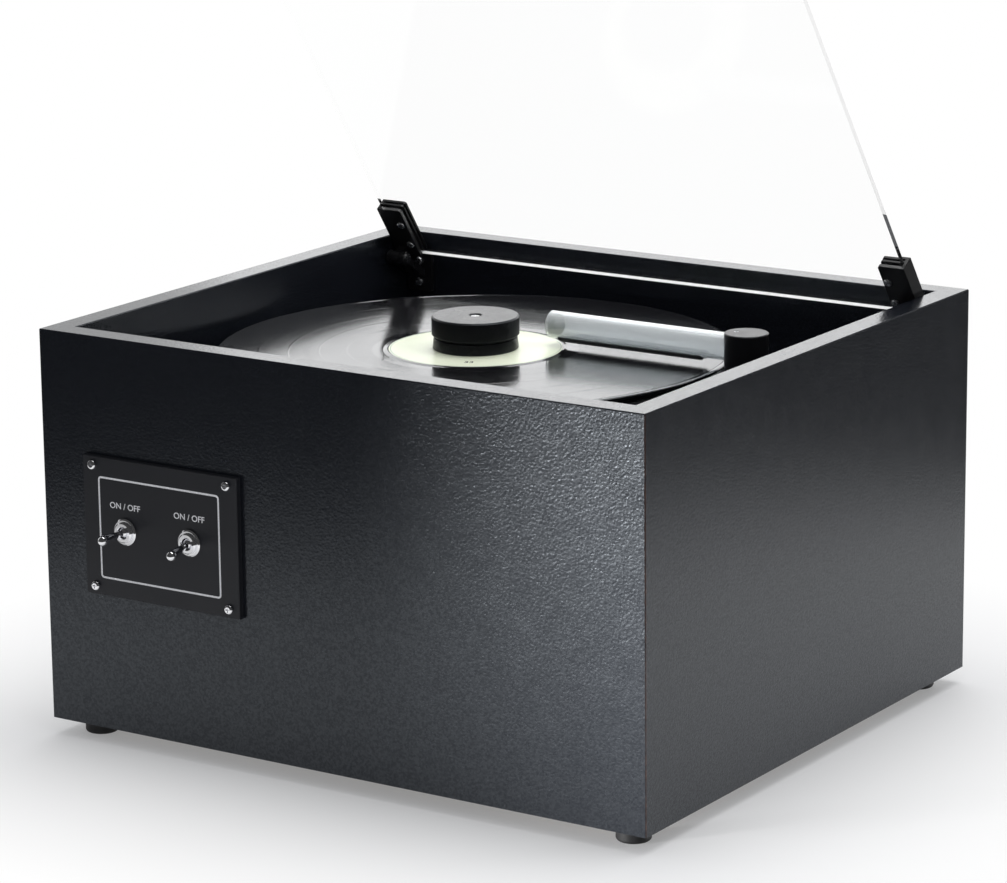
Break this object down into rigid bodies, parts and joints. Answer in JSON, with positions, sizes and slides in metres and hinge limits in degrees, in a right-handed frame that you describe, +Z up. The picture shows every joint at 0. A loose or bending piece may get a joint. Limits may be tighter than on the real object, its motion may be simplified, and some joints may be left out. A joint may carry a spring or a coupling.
{
  "type": "record cleaning machine",
  "caption": "Open-topped black cabinet with a clear hinged lid, a clamped turntable, a swinging suction arm, and a waste tank with a vacuum motor inside.",
  "frame": {"origin": "on the table, under the middle of the cabinet, the lid open as pictured", "axes": "+X to the right seen from the switch panel's side, +Y to the back, +Z up"},
  "size_m": [0.402, 0.4108, 0.4853],
  "materials": {
    "laminate": "black pebbled laminate over board",
    "board": "plain fibreboard",
    "deck_black": "black laminate over board",
    "zinc": "zinc-plated",
    "chrome": "polished",
    "foot_rubber": "matte",
    "panel_plastic": "satin with white print",
    "black_plastic": "satin",
    "platter_metal": "turned",
    "mat_rubber": "matte",
    "steel": "turned",
    "bronze": "turned",
    "gear_plastic": "satin",
    "motor_paint": "satin",
    "vinyl": "glossy, grooved",
    "label_paper": "coated paper",
    "clamp_plastic": "satin turned",
    "clear_plastic": "clear polished",
    "plug_plastic": "satin",
    "velvet": "pile",
    "spring_steel": "drawn wire",
    "seal_rubber": "smooth",
    "tank_plastic": "translucent white",
    "hose_rubber": "smooth",
    "sheet_steel": "pressed",
    "nickel_brass": "plated",
    "lever_red": "dipped",
    "glass": "clear",
    "cable_sheath": "smooth"
  },
  "bodies": {
    "cabinet": {"cabinet_front": "laminate", "cabinet_back": "laminate", "cabinet_left": "laminate", "cabinet_right": "laminate", "bottom_board": "board", "corner_blocks": "board", "deck_board": "deck_black", "deck_screws": "zinc", "rubber_feet": "foot_rubber", "foot_screws": "zinc", "switch_panel": "panel_plastic", "panel_screws": "chrome", "switch_bodies": "black_plastic", "switch_bushings": "chrome", "dress_nuts": "chrome", "spindle_bearing": "bronze", "flange_screws": "zinc", "drive_motor": "motor_paint", "motor_bracket": "sheet_steel", "bracket_standoffs": "steel", "machine_screws": "zinc", "arm_socket": "black_plastic", "stem_seal": "seal_rubber", "waste_tank": "tank_plastic", "tank_cover": "tank_plastic", "vacuum_hose": "hose_rubber", "vacuum_motor_can": "sheet_steel", "vacuum_fan_shell": "sheet_steel", "drain_valve": "nickel_brass", "power_inlet": "black_plastic", "exhaust_grille": "motor_paint", "hinge_bases": "black_plastic", "hinge_pins": "steel", "hinge_screws": "zinc", "wiring": "cable_sheath"},
    "turntable": {"platter": "platter_metal", "platter_mat": "mat_rubber", "spindle": "steel", "platter_screws": "zinc", "drive_gear": "gear_plastic", "vinyl_record": "vinyl", "record_labels": "label_paper"},
    "motor_rotor": {"motor_pinion": "steel"},
    "clamp_foot": {"clamp_ring": "clamp_plastic"},
    "clamp_handle": {"clamp_knob": "clamp_plastic"},
    "arm_turn": {"arm_spring": "spring_steel"},
    "arm": {"arm_post": "black_plastic", "suction_tube": "clear_plastic", "tube_plug": "plug_plastic", "velvet_strips": "velvet", "tube_set_screw": "zinc"},
    "left_lever": {"left_toggle_lever": "chrome"},
    "right_lever": {"right_toggle_lever": "chrome"},
    "fan": {"fan_rotor": "steel"},
    "drain_lever": {"drain_handle": "lever_red"},
    "fuse_carrier": {"fuse_drawer": "black_plastic", "fuse": "glass"},
    "lid": {"lid_sheet": "clear_plastic", "lid_clips": "black_plastic", "clip_screws": "zinc"}
  },
  "joints": [
    {"name": "lid_hinge", "type": "hinge", "parent": "cabinet", "child": "lid", "pos_m": [0, 0.1435, 0.2265], "axis": [-1, 0, 0], "range_deg": [-55, 0]},
    {"name": "platter_spin", "type": "hinge", "parent": "cabinet", "child": "turntable", "pos_m": [-0.025, 0, 0.18], "axis": [0, 0, 1], "continuous": true},
    {"name": "motor_shaft_spin", "type": "hinge", "parent": "cabinet", "child": "motor_rotor", "pos_m": [0.0125, 0, 0.13], "axis": [0, 0, 1], "continuous": true},
    {"name": "clamp_lift", "type": "slide", "parent": "turntable", "child": "clamp_foot", "axis": [0, 0, 1], "range_m": [0, 0.01142]},
    {"name": "clamp_turn", "type": "hinge", "parent": "clamp_foot", "child": "clamp_handle", "pos_m": [-0.025, 0, 0.225], "axis": [0, 0, 1], "range_deg": [0, 3240]},
    {"name": "arm_swing", "type": "hinge", "parent": "cabinet", "child": "arm_turn", "pos_m": [0.138, 0.031, 0.19], "axis": [0, 0, 1], "range_deg": [0, 100]},
    {"name": "arm_drop", "type": "slide", "parent": "arm_turn", "child": "arm", "axis": [0, 0, 1], "range_m": [-0.0017, 0], "stiffness_N_per_m": 500, "springref_m": 0.004, "deforming": ["arm_spring"]},
    {"name": "left_toggle", "type": "hinge", "parent": "cabinet", "child": "left_lever", "pos_m": [-0.13975, -0.1852, 0.1303], "axis": [-0.5, 0, 0.866], "range_deg": [0, 25]},
    {"name": "right_toggle", "type": "hinge", "parent": "cabinet", "child": "right_lever", "pos_m": [-0.09445, -0.1852, 0.1303], "axis": [-1, 0, 0], "range_deg": [0, 25]},
    {"name": "fan_spin", "type": "hinge", "parent": "cabinet", "child": "fan", "pos_m": [-0.108, 0.084, 0.08], "axis": [0, 0, 1], "continuous": true},
    {"name": "drain_turn", "type": "hinge", "parent": "cabinet", "child": "drain_lever", "pos_m": [0.118, 0.191, 0.044], "axis": [0, 0, 1], "range_deg": [0, 90]},
    {"name": "fuse_slide", "type": "slide", "parent": "cabinet", "child": "fuse_carrier", "axis": [0, 1, 0], "range_m": [0, 0.02]}
  ],
  "couplings": [
    {"joint": "motor_shaft_spin", "follows": "platter_spin", "ratio": -4},
    {"joint": "clamp_turn", "follows": "clamp_lift", "rad_per_m": 4947.4}
  ]
}
